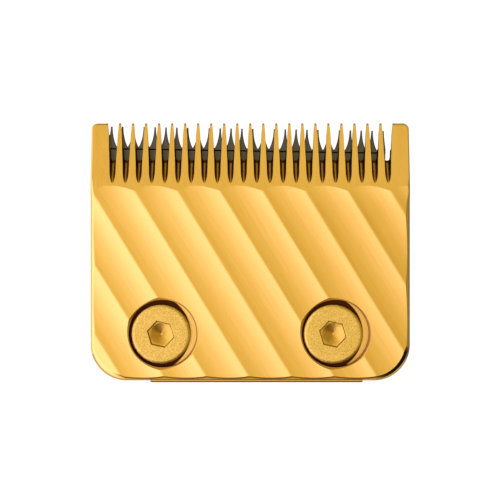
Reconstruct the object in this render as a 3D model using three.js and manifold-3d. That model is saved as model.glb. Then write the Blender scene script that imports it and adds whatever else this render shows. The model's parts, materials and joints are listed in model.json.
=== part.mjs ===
// Clipper blade set: a fluted fixed blade over a reciprocating cutter, on its spring bracket.
// Millimetres, +Z towards the tooth tips, the fluted face towards -Y.
// The origin is on the bracket's seat face, level with the fixed blade's screw holes, on its centreline.

import * as THREE from "three";
import { mergeVertices } from "three/addons/utils/BufferGeometryUtils.js";
import Module from "manifold-3d";

const wasm = await Module();
wasm.setup();

// ---- Driving dimensions ----

// Fixed blade. Its front plane holds the crests of the flutes.
const BLADE = {
  width: 46,
  heelZ: -7.03,
  frontHeelZ: -6.77, // the heel is stepped: the rear strip reaches lower
  tipZ: 30.4,
  front: -5.9,
  rear: -2.5,
  cornerR: 5,
  tipCornerR: 0.87,
  chamfer: 0.44,
  heelStrip: [-14.4, 16.2],
  heelStripFront: -4.9,
};
const BEVEL = { startZ: 20.48, slope: 0.2974 }; // the plane that thins the teeth towards their tips
const FLUTE = { radius: 14.7, width: 5.214, lean: 31.62, firstCrest: 1.822, from: -6, to: 6 };
const SLOT = {
  count: 22,
  pitch: 1.89,
  floorZ: 21.22, // where the slot's floor meets the front plane
  floorRise: 1.12, // the floor climbs this much for each millimetre of depth
  endLength: 1.46,
  endHalfWidth: 0.475,
  // Height, and half width at that height.
  taper: [[31.2, 0.86], [30.4, 0.785], [28.7, 0.635], [26.5, 0.6], [25.1, 0.53], [23.66, 0.475],
    [20.6, 0.475]],
};
const COUNTERBORE = { x: 12.45, shift: -0.17, radius: 4.87, depth: 2.2, hole: 2.9, chamfer: 0.36 };
const RUNOUT = { halfWidth: 19.6, low: 12, high: 19.6, depth: 0.8, cornerR: 1 };
const HEAD_POCKET = { halfWidth: 5.8, low: 1, high: 7, depth: 0.8, cornerR: 1 };

// Bracket frame: the play of the blade's oversize holes is taken up to one side.
const BRACKET = {
  x: -0.48,
  z: -0.1,
  halfWidth: 17,
  footZ: -6.86,
  topZ: 9,
  front: -2.45,
  back: -0.3,
  cornerR: 3,
  screwX: 12.4,
  insertR: 3.1,
  nutHoleX: 5,
  nutHoleZ: -3.4,
  nutHoleR: 1.25,
  pocketFloor: -1.3, // how far back the pocket for the guide's stem reaches
  pocketPlay: 0.4,
};
// The raised land that lies on the clipper's nose. Its face is the part's own zero.
const SEAT = { halfWidth: 8.2, topZ: 2.2, cornerR: 1 };
const EAR = { inner: 10.2, thickness: 1.2, pinY: 3, pinZ: 6.5, radius: 2.2 };

// The cutter and its guide are turned a little about this point of the bracket.
const CANT = { degrees: 0.93, pivotZ: 4 };
const CUTTER = {
  teeth: 26,
  pitch: 1.577,
  toothHalfTip: 0.116,
  toothDepth: 2.9,
  // The outer flank of each end tooth: distance from the tooth's middle, and depth below its tip.
  leftFlank: [[0.23, 1.15], [0.42, 1.36]],
  rightFlank: [[0.16, 0.75], [0.3, 1.9], [0.42, 2.75]],
  tipZ: 29.745,
  rearZ: 9.6,
  front: -2.45,
  back: -0.25,
  bevelZ: 20.6,
  tipThickness: 0.4,
  hollowZ: 12.6,
  landZ: 26.62,
  hollow: 0.25,
  cropped: 2,
  shift: -0.36, // where the cutter stands in its stroke
};
const GROOVE = { low: 13.4, high: 16.6, depth: 1.15, notchHalfWidth: 6.9 };
const GUIDE = {
  halfLength: 13,
  halfHeight: 1.4,
  z: 15,
  front: -2.4,
  back: -1.42,
  cornerR: 0.5,
  stemHalfWidth: 5,
  stemZ: 1,
  stemR: 1,
};
const GUIDE_SCREW = {
  x: 3,
  z: 4,
  headR: 1.7,
  head: 0.7,
  shankR: 0.85,
  length: 1.9,
  play: 0.3,
  tapFloor: -0.35,
};
const YOKE = {
  halfWidth: 7.8,
  low: 10.4,
  high: 20.2,
  face: -0.2,
  plate: 1.3,
  top: 5.8,
  towerHalfWidth: 4,
  slotHalfWidth: 2.5,
  slotLow: 11.5,
  slotHigh: 19.1,
  slotFloor: 0.9,
  cornerR: 1.2,
};
const YOKE_SCREW = {
  x: 5.9,
  z: 18.2,
  headR: 1.6,
  head: 0.9,
  shankR: 0.9,
  length: 3,
  play: 0.15,
  tapFloor: -1.95,
};
const CLAMP_SCREW = {
  headR: 4.27,
  top: -5.3,
  head: 1.3,
  chamfer: 0.2,
  shankR: 2,
  end: -0.3,
  endChamfer: 0.3,
  socketR: 1.91,
  socket: 0.7,
  socketTurn: 47,
  drill: 0.88, // the cone that the drill leaves below the socket
  drillR: 1.6,
};
const WASHER = { front: -3.98, back: -3.72, hole: 2.2 };
const PIN = {
  radius: 1,
  from: 9.2,
  to: 17.4,
  headR: 1.6,
  head: 0.5,
  grooveAt: 9.65,
  groove: 0.4,
  grooveR: 0.7,
  chamfer: 0.2,
  headChamfer: 0.15,
};
const CLIP = { radius: 1.9, hole: 0.78, thickness: 0.3, mouth: 1.1 };
const SPRING = {
  wireR: 0.35,
  coilR: 1.65,
  turns: 5,
  from: 11.95,
  pitch: 0.9,
  upperY: 0.17,
  upperZ: 12.8,
  lowerY: 0.12,
  lowerZ: 2.4,
};
const SLIM = 0.02; // the gap left between two parts that touch
const BORE_PLAY = 0.04;
const TAP_PLAY = 0.06;
const SIDES = [["left", -1], ["right", 1]];

// ---- Finishes ----

function finish(color, roughness, metalness) {
  return new THREE.MeshStandardMaterial({ color, roughness, metalness });
}

const GOLD = finish(0xe6ae55, 0.32, 1);
const SCREW_GOLD = finish(0xc89a3c, 0.42, 1);
const DARK_COAT = finish(0x3a3b3e, 0.38, 0.9);
const STEEL = finish(0xb9bcc0, 0.35, 1);
const SPRING_STEEL = finish(0x8f9296, 0.3, 1);
const ALUMINIUM = finish(0xa9abad, 0.5, 1);
const ACETAL = finish(0x17181a, 0.55, 0);

// ---- Solids: manifold-3d only joins and cuts ----

function solid(geometry) {
  const bare = geometry.clone();
  bare.deleteAttribute("normal");
  bare.deleteAttribute("uv");
  const merged = mergeVertices(bare, 1e-4);
  return new wasm.Manifold(
    new wasm.Mesh({
      numProp: 3,
      vertProperties: merged.attributes.position.array,
      triVerts: new Uint32Array(merged.index.array),
    }),
  );
}

function geometryOf(body) {
  const made = body.getMesh();
  const geometry = new THREE.BufferGeometry();
  geometry.setAttribute("position", new THREE.BufferAttribute(made.vertProperties, made.numProp));
  geometry.setIndex(new THREE.BufferAttribute(made.triVerts, 1));
  geometry.computeVertexNormals();
  return geometry;
}

const cut = (body, ...tools) => tools.reduce((left, tool) => left.subtract(solid(tool)), body);

function node(name, body, material) {
  const geometry = body.isBufferGeometry ? body : geometryOf(body);
  const mesh = new THREE.Mesh(geometry, material);
  mesh.name = name;
  return mesh;
}

// ---- Shapes ----

// A shape drawn in X and Z, as thick as the span from one Y to the other.
function plate(shape, yLow, yHigh, bevel = {}) {
  const options = { depth: yHigh - yLow, bevelEnabled: false, curveSegments: 6, ...bevel };
  return new THREE.ExtrudeGeometry(shape, options).rotateX(Math.PI / 2).translate(0, yHigh, 0);
}

function polygon(points) {
  return new THREE.Shape(points.map(([x, z]) => new THREE.Vector2(x, z)));
}

function box(x0, x1, y0, y1, z0, z1) {
  const made = new THREE.BoxGeometry(x1 - x0, y1 - y0, z1 - z0);
  return made.translate((x0 + x1) / 2, (y0 + y1) / 2, (z0 + z1) / 2);
}

function rodY(radius, yLow, yHigh, x, z, sides = 24) {
  const made = new THREE.CylinderGeometry(radius, radius, yHigh - yLow, sides);
  return made.translate(x, (yLow + yHigh) / 2, z);
}

// A profile of [radius, distance] pairs turned about Y; the distance runs along +Y.
function turned(profile, sides = 32) {
  return new THREE.LatheGeometry(profile.map(([r, y]) => new THREE.Vector2(r, y)), sides);
}

function roundedBox(x0, x1, z0, z1, radius) {
  const shape = new THREE.Shape();
  shape.moveTo(x0 + radius, z0);
  shape.lineTo(x1 - radius, z0);
  shape.absarc(x1 - radius, z0 + radius, radius, -Math.PI / 2, 0);
  shape.absarc(x1 - radius, z1 - radius, radius, 0, Math.PI / 2);
  shape.absarc(x0 + radius, z1 - radius, radius, Math.PI / 2, Math.PI);
  shape.absarc(x0 + radius, z0 + radius, radius, Math.PI, 1.5 * Math.PI);
  return shape;
}

// ---- Fixed blade ----

function bladeOutline(heelZ) {
  const half = BLADE.width / 2;
  const { cornerR: r, tipCornerR: t, tipZ } = BLADE;
  const low = heelZ + r;
  const shape = new THREE.Shape();
  shape.moveTo(-half + r, heelZ);
  shape.lineTo(half - r, heelZ);
  shape.absarc(half - r, low, r, -Math.PI / 2, 0);
  shape.absarc(half - t, tipZ - t, t, 0, Math.PI / 2);
  shape.absarc(-half + t, tipZ - t, t, Math.PI / 2, Math.PI);
  shape.absarc(-half + r, low, r, Math.PI, 1.5 * Math.PI);
  return shape;
}

function bladeBlank() {
  const c = BLADE.chamfer;
  const mid = (BLADE.front + BLADE.rear) / 2;
  const chamfer = { bevelEnabled: true, bevelThickness: c, bevelSize: c, bevelOffset: -c, bevelSegments: 1 };
  // The bevelled cap lies outside the extruded span, so the span is shorter by the bevel at each end.
  const front = plate(bladeOutline(BLADE.frontHeelZ), BLADE.front + c, mid, chamfer);
  const back = plate(bladeOutline(BLADE.frontHeelZ), BLADE.front + 2 * c, BLADE.rear);
  const [x0, x1] = BLADE.heelStrip;
  const strip = box(x0, x1, BLADE.heelStripFront, BLADE.rear, BLADE.heelZ, BLADE.frontHeelZ + 1);
  return solid(front).add(solid(back)).add(solid(strip));
}

// The plane that runs from the flutes to the thin tips.
function toothBevel() {
  const { startZ, slope } = BEVEL;
  const reach = 12;
  const clear = -12;
  const side = [[startZ, BLADE.front], [startZ + reach, BLADE.front + reach * slope], [startZ + reach, clear],
    [startZ - 3, clear], [startZ - 3, BLADE.front - 3 * slope]];
  const shape = polygon(side); // drawn in Z and Y
  const wide = new THREE.ExtrudeGeometry(shape, { depth: 60, bevelEnabled: false });
  const axes = new THREE.Matrix4().makeBasis(
    new THREE.Vector3(0, 0, 1), new THREE.Vector3(0, 1, 0), new THREE.Vector3(-1, 0, 0));
  return wide.applyMatrix4(axes).translate(30, 0, 0);
}

// Shallow round flutes side by side; the metal between two of them stands up as a crest.
function fluteCutter() {
  const { radius, width, firstCrest, from, to } = FLUTE;
  const steps = 5;
  const centreY = BLADE.front - Math.sqrt(radius ** 2 - (width / 2) ** 2);
  const points = [[firstCrest + to * width, BLADE.front - 2], [firstCrest + from * width, BLADE.front - 2]];
  for (let n = from; n < to; n++) {
    for (let i = 0; i < steps; i++) {
      const across = (i / steps - 0.5) * width;
      const middle = firstCrest + (n + 0.5) * width;
      points.push([middle + across, centreY + Math.sqrt(radius ** 2 - across ** 2)]);
    }
  }
  points.push([firstCrest + to * width, BLADE.front]);
  const lean = THREE.MathUtils.degToRad(FLUTE.lean);
  const across = new THREE.Vector3(Math.cos(lean), 0, Math.sin(lean));
  const along = new THREE.Vector3(-Math.sin(lean), 0, Math.cos(lean));
  const depth = new THREE.Vector3(0, 1, 0);
  const length = 90;
  const made = new THREE.ExtrudeGeometry(polygon(points), { depth: length, bevelEnabled: false });
  made.translate(0, 0, -length / 2);
  return made.applyMatrix4(new THREE.Matrix4().makeBasis(across, depth, along));
}

// One slot between two teeth: a taper seen from the front, closed by a floor that climbs to the rear.
function slotCutter() {
  const right = SLOT.taper.map(([z, w]) => [w, z]);
  const left = SLOT.taper.map(([z, w]) => [-w, z]).reverse();
  const taper = plate(polygon([...left, ...right]), -9, 0);
  const end = [];
  for (const part of [0, 0.4, 0.75, 1]) {
    const halfWidth = SLOT.endHalfWidth * (1 - (1 - part) ** 2) ** 0.7;
    end.push([halfWidth, SLOT.floorZ + part * SLOT.endLength]);
  }
  const top = SLOT.floorZ + SLOT.endLength;
  end.push([1.2, top + 0.8], [1.2, top + 10]);
  const mirrored = end.slice(1).map(([x, z]) => [-x, z]).reverse();
  const floor = plate(polygon([...end, ...mirrored]), -3, 6);
  const climb = new THREE.Matrix4().makeShear(0, 0, 0, SLOT.floorRise, 0, 0);
  floor.applyMatrix4(climb).translate(0, BLADE.front, 0);
  return geometryOf(solid(taper).intersect(solid(floor)));
}

function fixedBlade() {
  let body = cut(bladeBlank(), fluteCutter(), toothBevel());
  const slot = slotCutter();
  for (let i = 0; i < SLOT.count; i++) {
    const x = (i - (SLOT.count - 1) / 2) * SLOT.pitch;
    body = cut(body, slot.clone().translate(x, 0, 0));
  }
  const { x, shift, radius, depth, hole, chamfer } = COUNTERBORE;
  const clear = 2;
  for (const [, side] of SIDES) {
    const mouth = [[0, -clear], [radius + chamfer + clear, -clear], [radius, chamfer], [radius, depth],
      [hole, depth], [hole, depth + 2 * clear], [0, depth + 2 * clear]];
    body = cut(body, turned(mouth, 32).translate(side * x + shift, BLADE.front, 0));
  }
  for (const { halfWidth, low, high, depth: deep, cornerR } of [RUNOUT, HEAD_POCKET]) {
    const outline = roundedBox(-halfWidth, halfWidth, low, high, cornerR);
    body = cut(body, plate(outline, BLADE.rear - deep, BLADE.rear + clear));
  }
  return node("fixed_blade", body, GOLD);
}

// ---- Cutter ----

function cutterOutline() {
  const { teeth, pitch, toothHalfTip, toothDepth, leftFlank, rightFlank, tipZ, rearZ, cropped } = CUTTER;
  const first = (-(teeth - 1) / 2) * pitch;
  const gapHalfWidth = pitch / 2 - toothHalfTip;
  const depths = [0, 0.35, 0.65, 0.85, 0.96];
  const points = [];
  for (let k = 0; k < teeth; k++) {
    const x = first + k * pitch;
    points.push([x - toothHalfTip, tipZ], [x + toothHalfTip, tipZ]);
    if (k === teeth - 1) break;
    const middle = x + pitch / 2;
    const flank = depths.slice(1).map((s) => [gapHalfWidth * (1 - s ** 2) ** 0.8, tipZ - s * toothDepth]);
    for (const [w, z] of flank) points.push([middle - w, z]);
    points.push([middle, tipZ - toothDepth]);
    for (const [w, z] of flank.reverse()) points.push([middle + w, z]);
  }
  const right = rightFlank.map(([w, depth]) => [-first + w, tipZ - depth]);
  const left = leftFlank.map(([w, depth]) => [first - w, tipZ - depth]);
  const rightEnd = right.at(-1)[0];
  const leftEnd = left.at(-1)[0];
  points.push(...right, [rightEnd, rearZ + cropped], [rightEnd - cropped, rearZ]);
  points.push([leftEnd + cropped, rearZ], [leftEnd, rearZ + cropped], ...left.reverse());
  return polygon(points.reverse());
}

function yokeScrewHoles(yLow, yHigh) {
  const { x, z, shankR, play } = YOKE_SCREW;
  return SIDES.map(([, s]) => rodY(shankR + play, yLow, yHigh, s * x, z));
}

function movingCutter() {
  const { front, back, tipZ, bevelZ, tipThickness, hollowZ, landZ, hollow, shift } = CUTTER;
  const wide = 22;
  const bevelSlope = (back - front - tipThickness) / (tipZ - bevelZ);
  const reach = 11;
  const side = [[bevelZ, back], [bevelZ - 1, back + 1], [bevelZ + reach, back + 1],
    [bevelZ + reach, back - reach * bevelSlope]];
  const bevel = new THREE.ExtrudeGeometry(polygon(side), { depth: 2 * wide, bevelEnabled: false });
  const axes = new THREE.Matrix4().makeBasis(
    new THREE.Vector3(0, 0, 1), new THREE.Vector3(0, 1, 0), new THREE.Vector3(-1, 0, 0));
  bevel.applyMatrix4(axes).translate(wide, 0, 0);
  const tools = [
    bevel,
    box(-wide, wide, front - 1, front + hollow, hollowZ, landZ),
    box(-wide, wide, front - 1, front + GROOVE.depth, GROOVE.low, GROOVE.high),
    box(-GROOVE.notchHalfWidth, GROOVE.notchHalfWidth, front - 1, front + GROOVE.depth, 0, GROOVE.low + 1),
    ...yokeScrewHoles(YOKE_SCREW.tapFloor, back + 1),
  ];
  const mesh = node("moving_cutter", cut(solid(plate(cutterOutline(), front, back)), ...tools), DARK_COAT);
  mesh.position.x = shift;
  return mesh;
}

// ---- Drive yoke ----

function driveYoke() {
  const { halfWidth, low, high, face, plate: thick, top, towerHalfWidth, slotHalfWidth, cornerR } = YOKE;
  const seat = face + thick;
  const base = plate(roundedBox(-halfWidth, halfWidth, low, high, cornerR), face, seat);
  const tower = plate(roundedBox(-towerHalfWidth, towerHalfWidth, low, high, cornerR), seat - thick / 2, top);
  const slotOutline = roundedBox(-slotHalfWidth, slotHalfWidth, YOKE.slotLow, YOKE.slotHigh, cornerR);
  const slot = plate(slotOutline, YOKE.slotFloor, top + 1);
  const body = cut(solid(base).add(solid(tower)), slot, ...yokeScrewHoles(face - 1, seat + 1));
  const mesh = node("drive_yoke", body, ACETAL);
  mesh.position.x = CUTTER.shift;
  return mesh;
}

// A small hex-socket screw whose head's underside is at Y = 0; the shank runs along -toward.
function smallScrew({ headR, head, shankR, length }, toward) {
  const point = 0.2;
  const edge = 0.15;
  const profile = [[0, -length], [shankR - point, -length], [shankR, point - length], [shankR, 0], [headR, 0],
    [headR, head - edge], [headR - edge, head], [0, head]];
  const socketR = headR * 0.55;
  const socket = new THREE.CylinderGeometry(socketR, socketR, head, 6).translate(0, head * 1.05, 0);
  const made = geometryOf(cut(solid(turned(profile, 14)), socket));
  return toward < 0 ? made.rotateX(Math.PI) : made;
}

function yokeScrews() {
  return SIDES.map(([name, s]) => {
    const mesh = node("yoke_screw_" + name, smallScrew(YOKE_SCREW, 1), STEEL);
    mesh.position.set(s * YOKE_SCREW.x + CUTTER.shift, YOKE.face + YOKE.plate + SLIM, YOKE_SCREW.z);
    return mesh;
  });
}

// ---- Guide ----

function cutterGuide() {
  const { halfLength, halfHeight, z, front, back, cornerR, stemHalfWidth, stemZ, stemR } = GUIDE;
  const barOutline = roundedBox(-halfLength, halfLength, z - halfHeight, z + halfHeight, cornerR);
  const bar = plate(barOutline, front, back);
  const stem = plate(roundedBox(-stemHalfWidth, stemHalfWidth, stemZ, z, stemR), front, back);
  const { x: screwX, z: screwZ, shankR, play } = GUIDE_SCREW;
  const holes = SIDES.map(([, s]) => rodY(shankR + play, front - 1, back + 1, s * screwX, screwZ));
  return node("cutter_guide", cut(solid(bar).add(solid(stem)), ...holes), STEEL);
}

function guideScrews() {
  return SIDES.map(([name, s]) => {
    const mesh = node("guide_screw_" + name, smallScrew(GUIDE_SCREW, -1), STEEL);
    mesh.position.set(s * GUIDE_SCREW.x, GUIDE.front - SLIM, GUIDE_SCREW.z);
    return mesh;
  });
}

// ---- Bracket, inserts, pins, clips and springs ----

function bladeBracket() {
  const { halfWidth, footZ, topZ, front, back, cornerR, screwX, insertR } = BRACKET;
  const { nutHoleX, nutHoleZ, nutHoleR, pocketFloor, pocketPlay } = BRACKET;
  const { halfWidth: seatHalf, topZ: seatTop, cornerR: seatR } = SEAT;
  const rooted = 0.5; // how deep the seat and the ears are rooted in the plate
  const seat = plate(roundedBox(-seatHalf, seatHalf, footZ, seatTop, seatR), back - rooted, 0);
  const flat = plate(roundedBox(-halfWidth, halfWidth, footZ, topZ, cornerR), front, back);
  let body = solid(flat).add(solid(seat));
  const { inner, thickness, pinY, pinZ, radius } = EAR;
  for (const [, s] of SIDES) {
    const ear = new THREE.Shape();
    ear.moveTo(-radius, -pinY - rooted);
    ear.lineTo(radius, -pinY - rooted);
    ear.absarc(0, 0, radius, 0, Math.PI);
    const made = new THREE.ExtrudeGeometry(ear, { depth: thickness, bevelEnabled: false, curveSegments: 10 });
    // The shape's X goes to Z, its Y stays Y and its depth runs along -X.
    made.rotateY(-Math.PI / 2).translate(s * (inner + thickness / 2) + thickness / 2, pinY, pinZ);
    body = body.add(solid(made));
  }
  const pocketHalf = GUIDE.stemHalfWidth + pocketPlay;
  const tools = [box(-pocketHalf, pocketHalf, front - 1, pocketFloor, GUIDE.stemZ - pocketPlay, topZ + 1)];
  const { x: guideScrewX, z: guideScrewZ, shankR, tapFloor } = GUIDE_SCREW;
  const boreR = PIN.radius + BORE_PLAY;
  for (const [, s] of SIDES) {
    tools.push(rodY(insertR + BORE_PLAY, front - 1, 1, s * screwX, 0, 32));
    tools.push(rodY(nutHoleR, front - 1, 1, s * nutHoleX, nutHoleZ));
    tools.push(rodY(shankR + TAP_PLAY, pocketFloor - 1, tapFloor, s * guideScrewX, guideScrewZ));
    const bore = new THREE.CylinderGeometry(boreR, boreR, 8, 24);
    tools.push(bore.rotateZ(Math.PI / 2).translate(s * (inner + thickness / 2), pinY, pinZ));
  }
  return node("blade_bracket", cut(body, ...tools), ALUMINIUM);
}

// A ring turned about Y, from its outer and hole radius and its two faces.
function ring(outer, hole, yLow, yHigh, sides = 24) {
  return turned([[hole, yLow], [outer, yLow], [outer, yHigh], [hole, yHigh], [hole, yLow]], sides);
}

function clampHardware(name, s) {
  const { headR, top, head, chamfer, shankR, end, endChamfer } = CLAMP_SCREW;
  const { socketR, socket, socketTurn, drill, drillR } = CLAMP_SCREW;
  const profile = [[0, top], [headR - chamfer, top], [headR, top + chamfer], [headR, top + head],
    [shankR, top + head], [shankR, end - endChamfer], [shankR - endChamfer, end], [0, end]];
  const hex = new THREE.CylinderGeometry(socketR, socketR, socket + 1, 6);
  // A six-sided cylinder starts with a corner on +Z, the socket's turn counts from +X.
  hex.rotateY(THREE.MathUtils.degToRad(socketTurn + 30)).translate(0, top + (socket - 1) / 2, 0);
  const cone = new THREE.ConeGeometry(drillR, drill, 24).translate(0, top + socket + drill / 2 - SLIM, 0);
  const screw = node("clamp_screw_" + name, cut(solid(turned(profile, 36)), hex, cone), SCREW_GOLD);
  const washerRing = ring(headR, WASHER.hole, WASHER.front, WASHER.back);
  const washer = node("clamp_washer_" + name, solid(washerRing), STEEL);
  const insertRing = ring(BRACKET.insertR, shankR + TAP_PLAY, BRACKET.front + SLIM, BRACKET.back - SLIM);
  const insert = node("threaded_insert_" + name, solid(insertRing), STEEL);
  const meshes = [screw, washer, insert];
  meshes.forEach((mesh) => mesh.position.setX(s * BRACKET.screwX));
  return meshes;
}

// The straight lower arm, the coil about X and the straight upper arm of a torsion spring.
class SpringWire extends THREE.Curve {
  constructor(side) {
    super();
    const { pinY, pinZ } = EAR;
    const { coilR, turns, from, pitch, upperY, upperZ, lowerY, lowerZ } = SPRING;
    const front = pinY - coilR;
    const lower = new THREE.Vector3(side * from, lowerY, lowerZ);
    const upper = new THREE.Vector3(side * (from + turns * pitch), upperY, upperZ);
    const perTurn = 12;
    const points = [lower, new THREE.Vector3(lower.x, (lower.y + front) / 2, (lowerZ + pinZ) / 2)];
    for (let i = 0; i <= turns * perTurn; i++) {
      const angle = (2 * Math.PI * i) / perTurn;
      const x = side * (from + (pitch * i) / perTurn);
      points.push(new THREE.Vector3(x, pinY - coilR * Math.cos(angle), pinZ + coilR * Math.sin(angle)));
    }
    points.push(new THREE.Vector3(upper.x, (upper.y + front) / 2, (upperZ + pinZ) / 2), upper);
    this.route = new THREE.CatmullRomCurve3(points, false, "centripetal");
  }

  getPoint(t, target = new THREE.Vector3()) {
    return this.route.getPoint(t, target);
  }
}

function springHardware(name, s) {
  const { pinY, pinZ } = EAR;
  const { radius, from, to, headR, head, grooveAt, groove, grooveR, chamfer, headChamfer } = PIN;
  const grooveEnd = grooveAt + groove;
  const pinProfile = [[0, from], [radius - chamfer, from], [radius, from + chamfer], [radius, grooveAt],
    [grooveR, grooveAt], [grooveR, grooveEnd], [radius, grooveEnd], [radius, to - head], [headR, to - head],
    [headR, to - headChamfer], [headR - headChamfer, to], [0, to]];
  // Turned about Y first, then laid along X with its head outwards.
  const outwards = (geometry) => geometry.rotateZ((-s * Math.PI) / 2).translate(0, pinY, pinZ);
  const pin = node("spring_pin_" + name, outwards(turned(pinProfile, 16)), STEEL);

  const { radius: clipR, hole, thickness, mouth } = CLIP;
  const clipAt = grooveAt + (groove - thickness) / 2;
  const clipRing = outwards(ring(clipR, hole, clipAt, clipAt + thickness, 16));
  const mouthBox = box(-20, 20, pinY + 0.1, pinY + 4, pinZ - mouth / 2, pinZ + mouth / 2);
  const clip = node("pin_clip_" + name, cut(solid(clipRing), mouthBox), SPRING_STEEL);

  const wire = new THREE.Shape();
  const sides = 6;
  for (let i = 0; i < sides; i++) {
    const angle = (2 * Math.PI * i) / sides;
    wire[i ? "lineTo" : "moveTo"](SPRING.wireR * Math.cos(angle), SPRING.wireR * Math.sin(angle));
  }
  const along = { steps: 80, extrudePath: new SpringWire(s), bevelEnabled: false };
  const coil = new THREE.ExtrudeGeometry(wire, along);
  const spring = node("tension_spring_" + name, solid(coil), SPRING_STEEL);
  return [pin, clip, spring];
}

// ---- Assembly ----

const bladeSet = new THREE.Group();
bladeSet.add(fixedBlade());

const bracketFrame = new THREE.Group();
bracketFrame.position.set(BRACKET.x, 0, BRACKET.z);
bracketFrame.add(bladeBracket());
for (const [name, s] of SIDES) {
  bracketFrame.add(...clampHardware(name, s), ...springHardware(name, s));
}

const cantedFrame = new THREE.Group();
cantedFrame.position.z = CANT.pivotZ;
cantedFrame.rotation.y = THREE.MathUtils.degToRad(CANT.degrees);
const cutterFrame = new THREE.Group();
cutterFrame.position.z = -CANT.pivotZ;
cutterFrame.add(movingCutter(), driveYoke(), ...yokeScrews(), cutterGuide(), ...guideScrews());
cantedFrame.add(cutterFrame);
bracketFrame.add(cantedFrame);
bladeSet.add(bracketFrame);

export default bladeSet;
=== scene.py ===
"""Clipper blade set: the looks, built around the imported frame. Shapes are in millimetres until they
are placed."""

import json
import math

import bmesh
import bpy
import numpy as np
from mathutils import Matrix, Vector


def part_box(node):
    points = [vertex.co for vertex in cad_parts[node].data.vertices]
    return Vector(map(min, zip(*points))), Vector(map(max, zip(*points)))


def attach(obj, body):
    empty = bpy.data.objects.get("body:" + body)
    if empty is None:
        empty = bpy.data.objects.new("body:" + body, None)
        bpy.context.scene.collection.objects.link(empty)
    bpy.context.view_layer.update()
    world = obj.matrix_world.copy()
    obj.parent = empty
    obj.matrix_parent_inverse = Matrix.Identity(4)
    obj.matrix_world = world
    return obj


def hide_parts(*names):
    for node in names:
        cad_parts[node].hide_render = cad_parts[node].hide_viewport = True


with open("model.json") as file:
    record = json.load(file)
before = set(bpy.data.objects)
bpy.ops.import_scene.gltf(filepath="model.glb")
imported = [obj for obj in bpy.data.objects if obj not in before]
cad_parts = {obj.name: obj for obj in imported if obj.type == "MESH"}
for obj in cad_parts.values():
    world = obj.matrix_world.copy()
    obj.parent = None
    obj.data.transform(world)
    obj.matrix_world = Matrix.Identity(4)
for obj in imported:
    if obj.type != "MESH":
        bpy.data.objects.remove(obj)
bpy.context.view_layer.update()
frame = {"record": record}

MM = 0.001
PER_MM = 1 / MM


def extent(node):
    """A node's lowest and highest corners, in millimetres."""
    low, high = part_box(node)
    return np.array(low) / MM, np.array(high) / MM


def middle(node):
    low, high = extent(node)
    return (low + high) / 2


# ---- Driving dimensions, in millimetres ----

BLADE_LOW, BLADE_HIGH = extent("fixed_blade")
HALF_WIDTH = BLADE_HIGH[0]
FRONT, REAR = BLADE_LOW[1], BLADE_HIGH[1]  # the plane of the crests, and the shear face
TIP, STRIP_HEEL = BLADE_HIGH[2], BLADE_LOW[2]
HEEL = STRIP_HEEL + 0.26  # the rear strip of the heel reaches lower than the front
CORNER, TIP_CORNER = 5.0, 0.87
# The chamfer round the face, on the sides, at the round corners and on the bevelled posts.
EDGE, EDGE_CORNER, EDGE_POST = 0.69, 1.15, 0.2
BREAK, BREAK_DEPTH = 0.24, 0.48  # the steeper facet that breaks the chamfer's outer edge
BEVEL_START, BEVEL_SLOPE = 20.48, 0.2974
FLUTE_RADIUS, FLUTE_WIDTH, FLUTE_LEAN = 14.7, 5.214, math.radians(31.62)
FIRST_CREST, CREST_ROUND = 1.822, 0.16
SLOTS, SLOT_PITCH = 22, 1.89
SLOT_FLOOR, SLOT_RISE, SLOT_END, SLOT_END_HALF = 21.22, 1.12, 1.46, 0.475
SLOT_DRAFT, SLOT_DRAFT_TOP = 0.1, 28.5  # how far the walls close in at the rear, less upwards
SLOT_HEIGHTS = [20.0, 23.66, 25.1, 26.5, 28.7, 30.4, 31.4]
SLOT_HALVES = [0.475, 0.475, 0.53, 0.6, 0.645, 0.8, 0.89]
BORE_X, BORE_SHIFT, BORE_RADIUS, BORE_DEPTH = 12.45, -0.17, 4.87, 2.2
BORE_HOLE, BORE_EDGE, BORE_FILLET = 2.9, 0.37, 0.03
RECESS_SHIFT, RECESS_RADIUS = 1.6, 5.6  # the disc painted dark in each recess is left of its middle
STRIP_LEFT, STRIP_RIGHT = -14.4, 16.2  # the rear strip's ends
SUNK = 0.8  # how deep the runout and the pocket are cut into the shear face
SCREW_X = 12.4  # half the distance between the clamp screws
GUIDE_SCREW_X, GUIDE_SCREW_Z = 3, 4

# The cutter, the yoke and the guide are turned about a point of the bracket, as their slide's axis shows.
JOINTS = {joint["name"]: joint for joint in frame["record"]["behaviour"]["joints"]}
STROKE = JOINTS["cutter_stroke"]["axis"]
CANT = math.atan2(-STROKE[2], STROKE[0])
BRACKET_X, BRACKET_Z = -0.48, -0.1
PIVOT_Z = 4.0
CUTTER_SHIFT = -0.36

LEFT_RIGHT = (("left", -1), ("right", 1))


# ---- Camera ----

CAMERA_DISTANCE = 286.0
CAMERA_X, CAMERA_Z = -0.04, 12.02
VIEW_WIDTH = 71.79  # what the picture spans at the plane of the crests


def add_camera():
    data = bpy.data.cameras.new("camera")
    data.sensor_width = 36.0
    data.lens = data.sensor_width * CAMERA_DISTANCE / VIEW_WIDTH
    data.clip_start, data.clip_end = 0.01, 20.0
    camera = bpy.data.objects.new("camera", data)
    camera.location = (CAMERA_X * MM, (FRONT - CAMERA_DISTANCE) * MM, CAMERA_Z * MM)
    camera.rotation_euler = (math.radians(90), 0, 0)
    bpy.context.scene.collection.objects.link(camera)
    bpy.context.scene.camera = camera


add_camera()


# ---- Surfaces ----

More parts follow.
